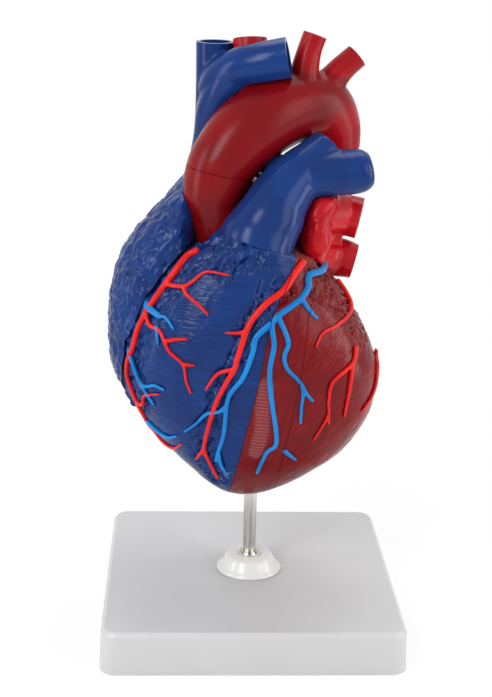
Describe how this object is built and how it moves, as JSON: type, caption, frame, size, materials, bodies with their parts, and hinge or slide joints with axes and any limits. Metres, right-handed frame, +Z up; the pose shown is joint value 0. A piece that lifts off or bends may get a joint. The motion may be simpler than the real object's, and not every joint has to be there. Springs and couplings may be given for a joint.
{
  "type": "human heart anatomy model",
  "caption": "Human heart anatomy model whose chamber walls and great vessels lift off, turning on a steel rod over a square stand.",
  "frame": {"origin": "centre of the stand's underside, on the axis of the rod", "axes": "+Z up along the rod; the front of the heart faces -Y and the right atrium lies towards -X"},
  "size_m": [0.18, 0.18, 0.3594],
  "materials": {
    "grey_plastic": "satin light grey moulded plastic",
    "white_plastic": "gloss white moulded plastic",
    "rod_steel": "nickel plated, satin",
    "socket_metal": "turned aluminium",
    "magnet_plating": "nickel plated",
    "blue_plastic": "gloss painted plastic with moulded relief",
    "dark_red_plastic": "gloss painted plastic with moulded relief",
    "red_plastic": "gloss painted plastic",
    "artery_red_paint": "gloss paint on a raised vessel",
    "vein_blue_paint": "gloss paint on a raised vessel",
    "cream_plastic": "satin painted plastic"
  },
  "bodies": {
    "stand": {"stand_base": "grey_plastic", "rod_boss": "white_plastic"},
    "rod": {"stand_rod": "rod_steel", "upper_lock_washer": "rod_steel", "lower_lock_washer": "rod_steel"},
    "heart": {"rod_socket": "socket_metal", "septum": "dark_red_plastic", "right_ventricle_rear_wall": "blue_plastic", "left_ventricle_rear_wall": "dark_red_plastic", "right_atrium_inner_wall": "blue_plastic", "left_atrium_front_wall": "red_plastic", "left_auricle": "red_plastic", "left_pulmonary_veins": "red_plastic", "aortic_root": "dark_red_plastic", "aortic_valve": "cream_plastic", "tricuspid_valve": "cream_plastic", "mitral_valve": "cream_plastic", "right_papillary_muscles": "cream_plastic", "left_papillary_muscles": "cream_plastic", "left_coronary_artery": "artery_red_paint", "great_cardiac_vein": "vein_blue_paint", "rear_coronary_vessels": "vein_blue_paint", "heart_body_magnets": "magnet_plating"},
    "right_ventricle_wall": {"right_ventricle_front_wall": "blue_plastic", "pulmonary_valve": "cream_plastic", "right_coronary_artery": "artery_red_paint", "anterior_cardiac_veins": "vein_blue_paint", "right_ventricle_wall_magnets": "magnet_plating"},
    "left_ventricle_wall": {"left_ventricle_side_wall": "dark_red_plastic", "left_ventricle_arteries": "artery_red_paint", "left_ventricle_veins": "vein_blue_paint", "left_ventricle_wall_magnets": "magnet_plating"},
    "right_atrium_wall": {"right_atrium_outer_wall": "blue_plastic", "inferior_vena_cava": "blue_plastic", "right_atrium_wall_magnets": "magnet_plating"},
    "left_atrium_wall": {"left_atrium_rear_wall": "red_plastic", "right_pulmonary_veins": "red_plastic", "left_atrium_wall_magnets": "magnet_plating"},
    "great_vessels": {"aortic_arch": "dark_red_plastic", "brachiocephalic_trunk": "red_plastic", "left_carotid_artery": "red_plastic", "left_subclavian_artery": "red_plastic", "superior_vena_cava": "blue_plastic", "left_brachiocephalic_vein": "blue_plastic", "pulmonary_trunk": "blue_plastic", "left_pulmonary_artery": "blue_plastic", "right_pulmonary_artery": "blue_plastic", "great_vessel_magnets": "magnet_plating"}
  },
  "joints": [
    {"name": "rod_turn", "type": "hinge", "parent": "stand", "child": "rod", "pos_m": [0, 0, 0.026], "axis": [0, 0, 1], "continuous": true},
    {"name": "heart_lift", "type": "slide", "parent": "rod", "child": "heart", "axis": [0, 0, 1], "range_m": [0, 0.08]},
    {"name": "right_ventricle_wall_off", "type": "slide", "parent": "heart", "child": "right_ventricle_wall", "axis": [0, -1, 0], "range_m": [0, 0.09]},
    {"name": "left_ventricle_wall_off", "type": "slide", "parent": "heart", "child": "left_ventricle_wall", "axis": [0, -1, 0], "range_m": [0, 0.09]},
    {"name": "right_atrium_wall_off", "type": "slide", "parent": "heart", "child": "right_atrium_wall", "axis": [-1, 0, 0], "range_m": [0, 0.08]},
    {"name": "left_atrium_wall_off", "type": "slide", "parent": "heart", "child": "left_atrium_wall", "axis": [0, 1, 0], "range_m": [0, 0.07]},
    {"name": "great_vessels_off", "type": "slide", "parent": "heart", "child": "great_vessels", "axis": [0.1724, -0.2299, 0.9578], "range_m": [0, 0.09]}
  ]
}
